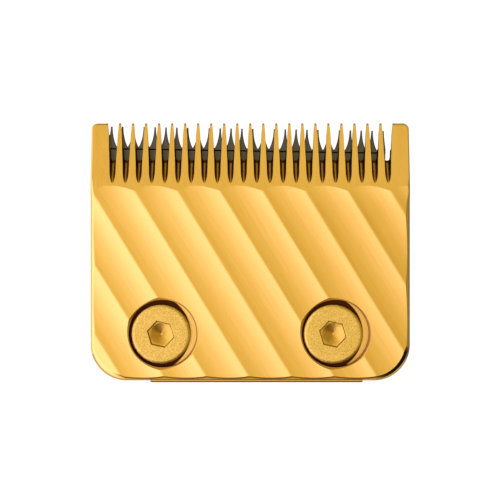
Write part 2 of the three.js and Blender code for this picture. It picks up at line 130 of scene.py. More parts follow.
def skin(name, grids, ring=False):
    """Skins one or more grids of points. In each grid a row goes round a closed section and the
    rows follow a path, so each face joins two neighbours in one row with the two beside them in the
    next. The first and last rows are closed by a face each, or, with ring, joined to each other."""
    grids = np.asarray(grids, dtype=float)
    if grids.ndim == 3:
        grids = grids[None]
    count, rows, columns = grids.shape[:3]
    index = np.arange(count * rows * columns).reshape(count, rows, columns)
    here = index if ring else index[:, :-1]
    there = np.roll(index, -1, 1) if ring else index[:, 1:]
    quads = np.stack([here, np.roll(here, -1, 2), np.roll(there, -1, 2), there], -1).reshape(-1, 4)
    faces = quads.tolist()
    if not ring:
        faces += index[:, 0].tolist() + index[:, -1, ::-1].tolist()
    mesh = bpy.data.meshes.new(name)
    mesh.from_pydata(grids.reshape(-1, 3).tolist(), [], faces)
    tidy(mesh)
    made = bpy.data.objects.new(name, mesh)
    bpy.context.scene.collection.objects.link(made)
    return made


def tidy(mesh, near=1e-4):
    """Merges points that meet, as at a pole, and turns every face outwards."""
    work = bmesh.new()
    work.from_mesh(mesh)
    bmesh.ops.remove_doubles(work, verts=work.verts, dist=near)
    bmesh.ops.recalc_face_normals(work, faces=work.faces)
    work.to_mesh(mesh)
    work.free()


def combine(piece, tool, operation="DIFFERENCE"):
    """Cuts the tool from the piece, or joins it on, and uses the tool up."""
    cut = piece.modifiers.new("cut", "BOOLEAN")
    cut.operation, cut.solver, cut.object = operation, "MANIFOLD", tool
    evaluated = piece.evaluated_get(bpy.context.evaluated_depsgraph_get())
    mesh = bpy.data.meshes.new_from_object(evaluated)
    piece.modifiers.clear()
    piece.data = mesh
    bpy.data.objects.remove(tool)
    return piece


def join_on(piece, tool):
    return combine(piece, tool, "UNION")


def arc(x, z, radius, start, end, steps):
    """Points on a circle of this centre and radius, from the start angle to the end angle, in
    degrees."""
    angle = np.radians(np.linspace(start, end, steps))
    return np.stack([x + radius * np.cos(angle), z + radius * np.sin(angle)], -1)


def rounded(x0, x1, z0, z1, radius, steps=9):
    """A rectangle with round corners, anticlockwise from the lower left corner."""
    return np.concatenate([
        arc(x0 + radius, z0 + radius, radius, 180, 270, steps),
        arc(x1 - radius, z0 + radius, radius, 270, 360, steps),
        arc(x1 - radius, z1 - radius, radius, 0, 90, steps),
        arc(x0 + radius, z1 - radius, radius, 90, 180, steps),
    ])


def at_depth(section, y):
    """Lays a section of X and Z pairs at one depth."""
    return np.stack([section[:, 0], np.full(len(section), y), section[:, 1]], -1)


def prism(name, section, y0, y1):
    return skin(name, np.stack([at_depth(section, y0), at_depth(section, y1)]))


def plank(name, x0, x1, section):
    """A section of Y and Z pairs, carried straight along X."""
    section = np.asarray(section, dtype=float)
    rows = [np.column_stack([np.full(len(section), x), section]) for x in (x0, x1)]
    return skin(name, np.stack(rows))


def block(name, x0, x1, y0, y1, z0, z1):
    return plank(name, x0, x1, [(y0, z0), (y1, z0), (y1, z1), (y0, z1)])


def turned(name, profile, x=0.0, z=0.0, steps=96, ring=False):
    """Turns a profile of radius and depth pairs about the Y direction through x, z: each point goes
    round at x + radius cos(angle), z + radius sin(angle), at its own depth."""
    profile = np.asarray(profile, dtype=float)
    angle = np.linspace(0, 2 * np.pi, steps, endpoint=False)
    radius, depth = profile[:, :1], profile[:, 1:]
    grid = np.stack([x + radius * np.cos(angle), depth + 0 * angle, z + radius * np.sin(angle)], -1)
    return skin(name, grid, ring)


def tube(name, path, radius, sides=20):
    """Carries a circle along a path: at each point the circle lies across the path's direction, and
    its first axis is the direction's cross product with a fixed one, so that it doesn't twist."""
    along = np.gradient(path, axis=0)
    along /= np.linalg.norm(along, axis=1, keepdims=True)
    fixed = np.array([1.0, 0.13, 0.0])
    first = np.cross(along, fixed)
    first /= np.linalg.norm(first, axis=1, keepdims=True)
    second = np.cross(along, first)
    angle = np.linspace(0, 2 * np.pi, sides, endpoint=False)[:, None]
    ring = first[:, None] * np.cos(angle) + second[:, None] * np.sin(angle)
    radius = np.broadcast_to(radius, (len(path),))[:, None, None]
    return skin(name, path[:, None] + radius * ring)


# ---- Materials ----

class Value:
    """A shader socket that takes part in arithmetic: each operator adds its Math node."""

    def __init__(self, finish, socket):
        self.finish, self.socket = finish, socket

    def math(self, operation, first, second=None):
        inputs = {0: first} if second is None else {0: first, 1: second}
        return self.finish.node("ShaderNodeMath", {"operation": operation}, inputs)

    def __add__(self, other):
        return self.math("ADD", self, other)

    def __sub__(self, other):
        return self.math("SUBTRACT", self, other)

    def __rsub__(self, other):
        return self.math("SUBTRACT", other, self)

    def __mul__(self, other):
        return self.math("MULTIPLY", self, other)

    def __mod__(self, other):
        return self.math("FLOORED_MODULO", self, other)

    def __pow__(self, other):
        return self.math("POWER", self, other)

    def __abs__(self):
        return self.math("ABSOLUTE", self)

    def __gt__(self, other):
        return self.math("GREATER_THAN", self, other)

    def __lt__(self, other):
        return self.math("LESS_THAN", self, other)

    __radd__, __rmul__ = __add__, __mul__

    def most(self, other):
        return self.math("MAXIMUM", self, other)

    def least(self, other):
        return self.math("MINIMUM", self, other)

    def root(self):
        return self.math("SQRT", self)


class Nodes:
    """A node tree to add to."""

    def __init__(self, tree):
        self.tree = tree

    def node(self, kind, settings=None, inputs=None, output=0):
        """Adds a node: its settings first, then its sockets' values or links."""
        made = self.tree.nodes.new(kind)
        for name, value in (settings or {}).items():
            setattr(made, name, value)
        for name, value in (inputs or {}).items():
            if isinstance(value, Value):
                self.tree.links.new(value.socket, made.inputs[name])
            else:
                made.inputs[name].default_value = value
        return Value(self, made.outputs[output])

    def mix(self, factor, first, second):
        """A mix of two colours, each of them three numbers or a socket."""
        first, second = (c if isinstance(c, Value) else (*c, 1) for c in (first, second))
        return self.node("ShaderNodeMix", {"data_type": "RGBA"},
                         {0: factor, 6: first, 7: second}, output=2)

    def parts(self, vector):
        """A vector's three numbers."""
        return [self.node("ShaderNodeSeparateXYZ", {}, {0: vector}, output=axis) for axis in range(3)]

    def fade(self, value, start, end, low=0.0, high=1.0):
        """Low where the value is at its start, high where it is at its end, and smooth between."""
        return self.node("ShaderNodeMapRange", {"interpolation_type": "SMOOTHSTEP"}, {
            "Value": value, "From Min": start, "From Max": end, "To Min": low, "To Max": high})


class Finish(Nodes):
    """A material: its node tree, and the shader that the patterns feed."""

    def __init__(self, name, colour, roughness, metallic):
        self.material = bpy.data.materials.new(name)
        self.material.use_nodes = True
        super().__init__(self.material.node_tree)
        self.shader = self.tree.nodes["Principled BSDF"]
        values = {"Base Color": (*colour, 1), "Roughness": roughness, "Metallic": metallic}
        for socket, value in values.items():
            self.shader.inputs[socket].default_value = value

    def feed(self, socket, value):
        self.tree.links.new(value.socket, self.shader.inputs[socket])

    def point(self):
        """Object coordinates, in metres."""
        return self.node("ShaderNodeTexCoord", output=3)

    def place(self, scale, turn=0.0):
        """Object coordinates, turned about Y and scaled, for a pattern whose grain follows a
        direction."""
        turned_place = self.node("ShaderNodeMapping", {"vector_type": "POINT"},
                                 {"Vector": self.point(), "Rotation": (0, turn, 0)})
        return self.node("ShaderNodeMapping", {"vector_type": "POINT"},
                         {"Vector": turned_place, "Scale": scale})

    def noise(self, scale, turn=0.0, detail=3.0):
        """Noise whose cells are 1 / scale metres long along each axis."""
        return self.node("ShaderNodeTexNoise", {}, {"Vector": self.place(scale, turn), "Scale": 1.0,
                                                    "Detail": detail, "Roughness": 0.55})

    def reach(self, x, z, middle_x, middle_z):
        """The distance of a point from a line along Y, given in millimetres."""
        across, up = x - middle_x * MM, z - middle_z * MM
        return (across * across + up * up).root()

    def pick(self, factor, first, second):
        """A plain mix of two values."""
        return first + factor * (second - first)

    def bump(self, height, strength, distance):
        made = self.node("ShaderNodeBump", {},
                         {"Height": height, "Strength": strength, "Distance": distance})
        self.feed("Normal", made)


def gold_coat():
    """Ground steel under a gold coat: fine lines follow the flutes, and stand upright on the teeth.
    The slots' walls, rear ends and floors, the screw recesses, the heel strip, the line where the chamfer
    meets the flutes at the heel, the broken outer edge and the lower right corner are painted dark, as
    painted shade and painted reflections, in place of the shade and the dark surroundings that they would
    mirror. The body's left side is painted paler, as painted light from the left."""
    made = Finish("gold_coat", (0.92, 0.535, 0.11), 0.3, 1.0)
    x, y, z = made.parts(made.point())
    face_x, face_y, face_z = made.parts(made.node("ShaderNodeTexCoord", output=1))
    on_teeth = z > (BEVEL_START + 0.4) * MM
    lines = made.pick(on_teeth, made.noise((4 * PER_MM, 0.4 * PER_MM, 0.12 * PER_MM), FLUTE_LEAN),
                      made.noise((4 * PER_MM, 0.4 * PER_MM, 0.25 * PER_MM)))
    fine = made.noise((11 * PER_MM, 0.4 * PER_MM, 0.2 * PER_MM), FLUTE_LEAN)
    broad = made.noise((0.9 * PER_MM, 0.2 * PER_MM, 0.05 * PER_MM), FLUTE_LEAN, 1.0)
    # In millimetres: where the end teeth begin, where the broken edge turns dark, where the slots'
    # floors darken, and where the tone changes over from the body to the teeth.
    end_teeth, right_from, low_to = 20.9, -19, -3
    floors_from, floors_to, teeth_from, teeth_to = 22.4, 24.6, 17, 23
    deep_gold, pale_gold = (0.83, 0.47, 0.085), (0.99, 0.585, 0.13)
    # The brown and the near black are the colours of the painted shade.
    shade_brown, shade_black = (0.085, 0.02, 0.002), (0.025, 0.018, 0.01)
    inner = abs(x) < end_teeth * MM
    # Painted shade: the slots' walls, and their rear ends at the shear face next to the cutter, are
    # painted dark.
    wall = made.fade(abs(face_x), 0.4, 0.9) * on_teeth * inner
    rear = made.fade(y, (REAR - 0.45) * MM, (REAR - 0.3) * MM) * on_teeth * inner
    # Painted shade on the broken outer edge, on the right side and along the bottom, for the dark
    # surroundings it would mirror.
    broken = made.fade(face_y, -0.6, -0.45) * made.fade(face_y, -0.2, -0.1, 1.0, 0.0)
    shade = (wall * 0.85).most(rear * 0.9)
    lower_right = (x > right_from * MM).most((z < low_to * MM) * 0.6)
    shade = shade.most(broken * lower_right * made.fade(face_z, -0.6, -0.3, 0.4, 0.92))
    # The heel's rear strip is painted dark, as painted shade.
    shade = shade.most((z < (HEEL - 0.03) * MM) * 0.85)
    # Where the chamfer meets the flutes at the heel it starts with a dark line of painted shade; round
    # the lower right corner all of it is painted near black, a painted reflection of dark surroundings.
    across = (x * math.cos(FLUTE_LEAN) + z * math.sin(FLUTE_LEAN)) * PER_MM - FIRST_CREST
    off = across % FLUTE_WIDTH - FLUTE_WIDTH / 2
    edge_depth = math.sqrt(FLUTE_RADIUS ** 2 - FLUTE_WIDTH ** 2 / 4)
    into = y * PER_MM - FRONT - ((FLUTE_RADIUS ** 2 - off * off).root() - edge_depth)
    chamfer = made.fade(face_y, -0.85, -0.8) * made.fade(face_y, -0.62, -0.57, 1.0, 0.0) * (z < 0.0)
    heel_edge_shade = made.fade(into, 0.2, 0.28, 0.75, 0.0) * made.fade(face_z, -0.15, -0.3)
    heel_edge_shade = heel_edge_shade * made.fade(face_x, -0.4, -0.2)
    corner = chamfer * made.fade(face_x, 0.05, 0.4) * made.fade(face_z, 0.0, -0.3)
    shade = shade.most(chamfer * heel_edge_shade)
    # Painted shade on the slots' floors, deeper towards the rear and upwards.
    below_bevel = y * PER_MM - FRONT - (z * PER_MM - BEVEL_START) * BEVEL_SLOPE
    floor = made.fade(abs(face_x), 0.2, 0.4, 1.0, 0.0) * (below_bevel > 0.5)
    darker_up = made.fade(z, floors_from * MM, floors_to * MM, 0.0, 0.35)
    shade = shade.most(floor * darker_up * on_teeth)
    for _, side in LEFT_RIGHT:
        # The gap round each head is painted dark, but for a crescent on the right, where it is
        # widest, and so is a thin line round the right of the recess's mouth.
        bore = side * BORE_X + BORE_SHIFT
        deep = y > (FRONT + 0.5) * MM
        mouth = made.reach(x, z, bore, 0)
        near = mouth < BORE_RADIUS * 1.06 * MM
        clear = made.fade(made.reach(x, z, bore - RECESS_SHIFT, 0), (RECESS_RADIUS - 0.08) * MM,
                          (RECESS_RADIUS + 0.05) * MM, 1.0, 0.0)
        shade = shade.most(deep * near * clear)
        line = made.fade(mouth, (BORE_RADIUS - 0.05) * MM, (BORE_RADIUS + 0.02) * MM)
        line = line * made.fade(mouth, (BORE_RADIUS + 0.12) * MM, (BORE_RADIUS + 0.2) * MM, 1.0, 0.0)
        shade = shade.most(line * made.fade(x, bore * MM, (bore + 3) * MM, 0.0, 0.7))
    made.feed("Roughness", 0.16 + lines * 0.1 + fine * 0.1 + broad * 0.08 + shade * 0.15)
    streaks = made.fade(lines * 0.45 + fine * 0.4 + broad * 0.15, 0.3, 0.7)
    # Painted light: on the body the left side is painted paler and the right deeper, for light from the
    # left; on the teeth the tone runs the other way.
    leftwards = made.fade(x, HALF_WIDTH * MM, -HALF_WIDTH * MM)
    tone = streaks * 0.6 + made.pick(made.fade(z, teeth_from * MM, teeth_to * MM),
                                     leftwards * 0.6 - 0.15, 0.45 - leftwards * 0.5)
    coat = made.mix(shade, made.mix(tone, deep_gold, pale_gold), shade_brown)
    made.feed("Base Color", made.mix(corner, coat, shade_black))
    made.bump(lines * 0.6 + fine * 0.4, 0.5, 0.005 * MM)
    return made.material


def gold_screw():
    """Blasted steel under a gold coat: a fine even grain, a little duller than the blade. The
    socket is painted deeper in colour as shade in the recess, and a dark line of painted shade runs round
    its mouth."""
    made = Finish("gold_screw", (0.82, 0.5, 0.08), 0.4, 1.0)
    grain = made.noise((4.5 * PER_MM,) * 3, detail=2.0)
    cloud = made.noise((0.7 * PER_MM,) * 3)
    made.feed("Roughness", 0.3 + grain * 0.15)
    speckle = made.fade(grain, 0.3, 0.7)
    coat = made.mix(made.pick(0.3, speckle, cloud), (0.56, 0.33, 0.035), (1.0, 0.63, 0.13))
    x, y, z = made.parts(made.point())
    mouth_reach, deep_gold, shade_brown = 2.3, (0.8, 0.4, 0.04), (0.12, 0.045, 0.005)
    # Painted shade: deep in the socket the colour is painted deeper.
    socket = made.fade(y, (FRONT + 1.0) * MM, (FRONT + 1.3) * MM, 0.0, 0.6)
    coat = made.mix(socket, coat, deep_gold)
    # A dark line of painted shade round each socket's mouth.
    mouth = made.fade(y, (FRONT + 0.62) * MM, (FRONT + 0.66) * MM) * (y < (FRONT + 1.1) * MM)
    near = sum(made.reach(x, z, side * SCREW_X + BRACKET_X, BRACKET_Z) < mouth_reach * MM
               for _, side in LEFT_RIGHT)
    made.feed("Base Color", made.mix(mouth * near * 0.7, coat, shade_brown))
    made.bump(grain, 0.8, 0.02 * MM)
    return made.material


def dark_coat():
    """Ground steel under a warm dark hard coat."""
    made = Finish("dark_coat", (0.11, 0.088, 0.05), 0.35, 0.9)
    grain = made.noise((7 * PER_MM, 1 * PER_MM, 0.4 * PER_MM))
    made.feed("Roughness", 0.28 + grain * 0.2)
    made.feed("Base Color", made.mix(grain, (0.08, 0.064, 0.034), (0.15, 0.122, 0.072)))
    made.bump(grain, 0.3, 0.004 * MM)
    return made.material


def turned_steel():
    """Bare turned steel with fine tool marks."""
    made = Finish("turned_steel", (0.6, 0.6, 0.6), 0.3, 1.0)
    grain = made.noise((5 * PER_MM, 12 * PER_MM, 5 * PER_MM))
    made.feed("Roughness", 0.2 + grain * 0.22)
    made.feed("Base Color", made.mix(grain, (0.55, 0.555, 0.56), (0.66, 0.665, 0.67)))
    made.bump(grain, 0.25, 0.004 * MM)
    return made.material


def spring_wire():
    """Drawn spring steel, darker than the turned parts."""
    made = Finish("spring_wire", (0.4, 0.41, 0.43), 0.28, 1.0)
    grain = made.noise((9 * PER_MM, 9 * PER_MM, 9 * PER_MM))
    made.feed("Roughness", 0.18 + grain * 0.2)
    made.feed("Base Color", made.mix(grain, (0.34, 0.35, 0.37), (0.47, 0.48, 0.5)))
    made.bump(grain, 0.2, 0.003 * MM)
    return made.material


def blasted_aluminium():
    """Blasted aluminium: a fine even grain under a faint cloudiness."""
    made = Finish("blasted_aluminium", (0.6, 0.61, 0.62), 0.5, 1.0)
    grain = made.noise((7 * PER_MM,) * 3)
    cloud = made.noise((0.25 * PER_MM,) * 3)
    made.feed("Roughness", 0.42 + grain * 0.2)
    made.feed("Base Color", made.mix(cloud, (0.56, 0.57, 0.58), (0.66, 0.67, 0.68)))
    made.bump(grain, 0.55, 0.014 * MM)
    return made.material


def moulded_acetal():
    """Black moulded acetal with a fine matt grain."""
    made = Finish("moulded_acetal", (0.018, 0.018, 0.02), 0.5, 0.0)
    grain = made.noise((5 * PER_MM,) * 3)
    made.feed("Roughness", 0.4 + grain * 0.2)
    made.feed("Base Color", made.mix(grain, (0.014, 0.014, 0.016), (0.026, 0.026, 0.029)))
    made.bump(grain, 0.4, 0.01 * MM)
    return made.material


GOLD, SCREW_GOLD, DARK = gold_coat(), gold_screw(), dark_coat()
STEEL, WIRE, ALUMINIUM, ACETAL = turned_steel(), spring_wire(), blasted_aluminium(), moulded_acetal()


# ---- Placing ----

BRACKET_PLACE = Matrix.Translation((BRACKET_X, 0, BRACKET_Z))
CANTED_PLACE = (BRACKET_PLACE @ Matrix.Translation((0, 0, PIVOT_Z)) @ Matrix.Rotation(CANT, 4, "Y")
                @ Matrix.Translation((0, 0, -PIVOT_Z)))
CUTTER_PLACE = CANTED_PLACE @ Matrix.Translation((CUTTER_SHIFT, 0, 0))
BODIES = frame["record"]["behaviour"]["bodies"]
BODY_OF = {node: body for body, nodes in BODIES.items() for node in nodes}


def put(piece, node, material, place=None, smooth=18):
    """Finishes a piece: places it, turns it to metres, softens the shading of its shallow edges,
    and lets it stand for its CAD node."""
    mesh = piece.data
    mesh.transform(Matrix.Scale(MM, 4) @ (place or Matrix()))
    mesh.shade_smooth()
    mesh.set_sharp_from_angle(angle=math.radians(smooth))
    mesh.materials.clear()
    mesh.materials.append(material)
    piece.name = node + "_fine"
    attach(piece, BODY_OF[node])
    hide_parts(node)


# ---- Fixed blade ----

def face_plane(height):
    """The depth of the crests' plane, and of the bevel above it."""
    return FRONT + BEVEL_SLOPE * np.clip(height - BEVEL_START, 0, None)


def blade_blank():
    """The blade's outline from the shear face forwards, then drawn in at 45 degrees so that it
    passes the face at the chamfer's width, and carried on straight to well in front of it. Each
    point of the outline is a corner's middle plus the corner's radius along its normal, so drawing
    in moves it back along that normal."""
    low_steps, tip_steps = 40, 14
    corners = [(-1, HEEL, CORNER, 180, low_steps), (1, HEEL, CORNER, 270, low_steps),
               (1, TIP, TIP_CORNER, 0, tip_steps), (-1, TIP, TIP_CORNER, 90, tip_steps)]
    outline, normal, width = [], [], []
    for side, z, radius, start, steps in corners:
        turn = np.linspace(0, 90, steps)
        inwards = 1 if z < 0 else -1
        corner_x, corner_z = side * (HALF_WIDTH - radius), z + inwards * radius
        outline.append(arc(corner_x, corner_z, radius, start, start + 90, steps))
        normal.append(arc(0, 0, 1, start, start + 90, steps))
        broad = EDGE_CORNER - EDGE if z < 0 else 0
        width.append(EDGE + broad * np.sin(np.radians(2 * turn)))
    outline, normal, width = (np.concatenate(part) for part in (outline, normal, width))
    # The straight sides get rows of their own where the face bends and its chamfer narrows.
    stops = BEVEL_START + np.array([-1.5, -0.7, 0, 0.8, 2])
    for side, heights, place in ((-1, stops[::-1], len(outline)), (1, stops, 2 * low_steps)):
        line = np.column_stack([np.full(len(heights), side * HALF_WIDTH), heights])
        outline = np.insert(outline, [place] * len(heights), line, 0)
        normal = np.insert(normal, [place] * len(heights), (side, 0), 0)
        width = np.insert(width, [place] * len(heights), EDGE, 0)
    height = outline[:, 1]
    width = np.where(height > 0, np.interp(height, stops[[0, -1]], [EDGE, EDGE_POST]), width)
    past = 0.3
    front = face_plane(height)
    inner = outline - normal * (width + past)[:, None]
    steep = outline - normal * (BREAK * width / EDGE)[:, None]
    rings = [(inner, FRONT - 3 + 0 * height), (inner, front - past),
             (steep, front + width * (1 - BREAK / EDGE)),
             (outline, front + width * (1 + BREAK_DEPTH / EDGE)), (outline, REAR + 0 * height)]
    blank = skin("blade", np.stack([np.stack([ring[:, 0], y, ring[:, 1]], -1) for ring, y in rings]))
    strip = rounded(STRIP_LEFT, STRIP_RIGHT, STRIP_HEEL, HEEL + 1, 0.2, 5)
    return join_on(blank, prism("strip", strip, -4.9, REAR))


def flute_depth(across):
    """How deep the fluted face lies behind the crests' plane. Each flute is an arc of a circle, so
    its depth is the root of radius squared less the distance from its middle squared, less that
    root at its edge; near the edge a parabola takes over and rounds the crest."""
    off = np.abs((across - FIRST_CREST) % FLUTE_WIDTH - FLUTE_WIDTH / 2)
    half = FLUTE_WIDTH / 2
    arc_depth = np.sqrt(FLUTE_RADIUS ** 2 - off ** 2) - math.sqrt(FLUTE_RADIUS ** 2 - half ** 2)
    start = half - CREST_ROUND
    slope = start / math.sqrt(FLUTE_RADIUS ** 2 - start ** 2)
    at_start = math.sqrt(FLUTE_RADIUS ** 2 - start ** 2) - math.sqrt(FLUTE_RADIUS ** 2 - half ** 2)
    into = off - start
    crest = at_start - slope * into * (1 - into / (2 * CREST_ROUND))
    return np.where(off > start, crest, arc_depth)


def flute_tool():
    """All that lies in front of the fluted face: its profile across the flutes, carried along
    them."""
    per_flute = 40
    first, last = -5, 6
    across = FIRST_CREST + FLUTE_WIDTH * np.linspace(first, last, (last - first) * per_flute + 1)
    depth = FRONT + flute_depth(across)
    across = np.concatenate([across, across[[-1, 0]]])
    depth = np.concatenate([depth, [FRONT - 6, FRONT - 6]])
    side = np.array([math.cos(FLUTE_LEAN), 0, math.sin(FLUTE_LEAN)])
    along = np.array([-math.sin(FLUTE_LEAN), 0, math.cos(FLUTE_LEAN)])
    profile = across[:, None] * side + depth[:, None] * np.array([0, 1, 0])
    return skin("flutes", np.stack([profile - 50 * along, profile + 50 * along]))


def slot_grids():
    """The slots between the teeth. At each depth the half width grows with height along the taper,
    and near the floor it is held to a rounded end: end half width times (1 - (1 - rise above the
    floor / end length) squared) to a power that falls from 0.7 at the face to 0.25 at the rear,
    where the floor is nearly flat. The floor climbs towards the rear, and the walls close in by a
    little."""
    depth = np.linspace(FRONT - 0.6, REAR + 0.6, 24)
    part = np.linspace(0, 1, 40) ** 1.7
    floor = SLOT_FLOOR + SLOT_RISE * (depth - FRONT)
    height = floor[:, None] + (SLOT_HEIGHTS[-1] - floor[:, None]) * part
    taper = np.interp(height, SLOT_HEIGHTS, SLOT_HALVES)
    rise = np.clip((height - floor[:, None]) / SLOT_END, 0, None)
    behind = np.clip((depth[:, None] - FRONT) / (REAR - FRONT), 0, 1)
    end = SLOT_END_HALF * np.clip(1 - np.clip(1 - rise, 0, 1) ** 2, 0, 1) ** (0.7 - 0.45 * behind)
    end = np.where(rise > 1, end + (rise - 1) * 0.9, end)
    near_floor = np.clip(rise, 0, 1) * np.clip((SLOT_DRAFT_TOP - height) / 4, 0, 1)
    half = np.minimum(taper, end) - SLOT_DRAFT * behind * near_floor
    right = np.stack([half, np.broadcast_to(depth[:, None], half.shape), height], -1)
    left = right[:, :0:-1] * np.array([-1, 1, 1])
    one = np.concatenate([right, left], 1)
    shift = (np.arange(SLOTS) - (SLOTS - 1) / 2) * SLOT_PITCH
    return one + shift[:, None, None, None] * np.array([1, 0, 0])


def bevel_tools():
    """The plane that thins the teeth, and the rounding of the tips: an arc that touches the bevel's
    plane and the tips' plane, so its middle lies the arc's radius behind the one and below the
    other."""
    run, clear = 14.0, -14.0
    thin = [(FRONT, BEVEL_START), (FRONT + run * BEVEL_SLOPE, BEVEL_START + run),
            (clear, BEVEL_START + run), (clear, BEVEL_START - 3),
            (FRONT - 3 * BEVEL_SLOPE, BEVEL_START - 3)]
    tools = [plank("thin", -30, 30, thin)]
    length = math.hypot(1, BEVEL_SLOPE)
    start = math.degrees(math.atan2(BEVEL_SLOPE, -1))
    for x0, x1, radius in ((-30, -20.8, 0.2), (-20.8, 20.8, 0.42), (20.8, 30, 0.2)):
        z = TIP - radius
        y = face_plane(z) + radius * length
        rounding = arc(y, z, radius, start, 90, 10)
        away = rounding[0] + 4 * np.array([-1, BEVEL_SLOPE])
        section = np.concatenate([rounding, [(y, TIP + 2), (clear, TIP + 2), (clear, away[1]), away]])
        tools.append(plank("tips", x0, x1, section))
    return tools


def fixed_blade():
    blade = blade_blank()
    combine(blade, flute_tool())
    for tool in bevel_tools():
        combine(blade, tool)
    combine(blade, skin("slots", slot_grids()))
    for _, side in LEFT_RIGHT:
        mouth = [(0, FRONT - 2), (BORE_RADIUS + BORE_EDGE + 2, FRONT - 2),
                 (BORE_RADIUS, FRONT + BORE_EDGE), (BORE_RADIUS, FRONT + BORE_DEPTH - BORE_FILLET),
                 (BORE_RADIUS - BORE_FILLET, FRONT + BORE_DEPTH),
                 (BORE_HOLE, FRONT + BORE_DEPTH), (BORE_HOLE, REAR + 2), (0, REAR + 2)]
        combine(blade, turned("bore", mouth, side * BORE_X + BORE_SHIFT, 0, 128))
    combine(blade, prism("runout", rounded(-19.6, 19.6, 12, 19.6, 1), REAR - SUNK, REAR + 1))
    combine(blade, prism("pocket", rounded(-5.8, 5.8, 1, 7, 1), REAR - SUNK, REAR + 1))
    put(blade, "fixed_blade", GOLD, smooth=12)


# ---- Cutter ----

CUTTER_TEETH, CUTTER_PITCH, CUTTER_TIP_HALF, CUTTER_TOOTH = 26, 1.577, 0.116, 2.9
CUTTER_TIP, CUTTER_LOW, CUTTER_CROP = 29.745, 9.6, 2.0
CUTTER_FRONT, CUTTER_BACK, CUTTER_LAND, CUTTER_HOLLOW = -2.45, -0.25, 26.62, 0.25
CUTTER_EDGE = 0.08
# The outer flank of each end tooth: distance from the tooth's middle, and depth below its tip.
LEFT_FLANK = np.array([(0.23, 1.15), (0.42, 1.36)])
RIGHT_FLANK = np.array([(0.16, 0.75), (0.3, 1.9), (0.42, 2.75)])
GROOVE_LOW, GROOVE_HIGH, GROOVE_DEPTH = 13.4, 16.6, 1.15
YOKE_SCREW_X, YOKE_SCREW_Z = 5.9, 18.2


def cutter_section(inset):
    """The cutter's outline, drawn in by a distance. Between two teeth the gap's half width falls
    from the tips to the root as (1 - (depth below the tips / tooth length) squared) to the power
    0.8."""
    tips = (np.arange(CUTTER_TEETH) - (CUTTER_TEETH - 1) / 2) * CUTTER_PITCH
    depth = np.sin(np.linspace(0, np.pi / 2, 13))
    half = (CUTTER_PITCH / 2 - CUTTER_TIP_HALF) * np.clip(1 - depth ** 2, 0, 1) ** 0.8
    half = half + inset * np.clip(1 - depth, 0, 1) ** 0.25
    half = np.minimum(half, CUTTER_PITCH / 2 - 0.03)
    half[-1] = 0
    tip, low = CUTTER_TIP - inset, CUTTER_LOW + inset
    height = tip - depth * CUTTER_TOOTH
    gap = np.concatenate([np.stack([-half, height], -1), np.stack([half, height], -1)[-2::-1]])
    gaps = gap + ((tips[:-1] + tips[1:]) / 2)[:, None, None] * np.array([1, 0])
    tip_half = gaps[0, 0, 0] - tips[0]
    left = [tips[0], tip] + (LEFT_FLANK - (inset, 0)) * (-1, -1)
    right = [tips[-1], tip] + (RIGHT_FLANK - (inset, 0)) * (1, -1)
    start, end, crop = left[-1, 0], right[-1, 0], CUTTER_CROP
    return np.concatenate([
        [(start + crop, low), (start, low + crop)], left[::-1], [(tips[0] - tip_half, tip)],
        gaps.reshape(-1, 2),
        [(tips[-1] + tip_half, tip)], right, [(end, low + crop), (end - crop, low)],
    ])


def moving_cutter():
    outer, inner = cutter_section(0), cutter_section(CUTTER_EDGE)
    grid = np.stack([at_depth(inner, CUTTER_FRONT), at_depth(outer, CUTTER_FRONT + CUTTER_EDGE),
                     at_depth(outer, CUTTER_BACK)])
    cutter = skin("cutter", grid)
    wide = 30
    thin_from, thin = 20.6, 0.4
    slope = (CUTTER_BACK - CUTTER_FRONT - thin) / (CUTTER_TIP - thin_from)
    combine(cutter, plank("thin", -wide, wide, [
        (CUTTER_BACK, thin_from), (CUTTER_BACK - 11 * slope, thin_from + 11), (3, thin_from + 11),
        (3, thin_from - 1), (CUTTER_BACK + slope, thin_from - 1)]))
    hollow = CUTTER_FRONT + CUTTER_HOLLOW
    combine(cutter, plank("hollow", -wide, wide, [
        (CUTTER_FRONT - 1, 12.6), (hollow, 12.6 + CUTTER_HOLLOW), (hollow, CUTTER_LAND - 0.2),
        (CUTTER_FRONT, CUTTER_LAND), (CUTTER_FRONT - 1, CUTTER_LAND + 0.8)]))
    groove = CUTTER_FRONT + GROOVE_DEPTH
    combine(cutter, block("groove", -wide, wide, CUTTER_FRONT - 1, groove, GROOVE_LOW, GROOVE_HIGH))
    combine(cutter, block("notch", -6.9, 6.9, CUTTER_FRONT - 1, groove, 5, GROOVE_LOW + 1))
    for _, side in LEFT_RIGHT:
        combine(cutter, turned("hole", [(0, -1.95), (1.05, -1.95), (1.05, 1), (0, 1)],
                               side * YOKE_SCREW_X, YOKE_SCREW_Z, 48))
    put(cutter, "moving_cutter", DARK, CUTTER_PLACE, smooth=25)


# ---- Screws ----

def socket_radius(angle, sides=6):
    """The radius of a hexagon of circumradius 1 at an angle from one of its corners."""
    half = np.pi / sides
    return math.cos(half) / np.cos((angle % (2 * half)) - half)


def socket_screw(name, rows, corner, turn, steps=144):
    """A screw's surface on a grid. Each row is a circle about Y of its own radius and depth; a row
    marked as a socket row follows the hexagon's radius, corner times the hexagon's shape at that
    angle."""
    angle = np.linspace(0, 2 * np.pi, steps, endpoint=False)
    hexagon = corner * socket_radius(angle)
    radius = np.array([[r] for r, _, _ in rows])
    depth = np.array([[y] for _, y, _ in rows])
    hexed = np.array([[h] for _, _, h in rows])
    reach = np.where(hexed > 0, hexagon * hexed, radius + 0 * angle)
    turned_angle = angle + turn
    grid = np.stack([reach * np.cos(turned_angle), depth + 0 * reach, reach * np.sin(turned_angle)], -1)
    return skin(name, grid)


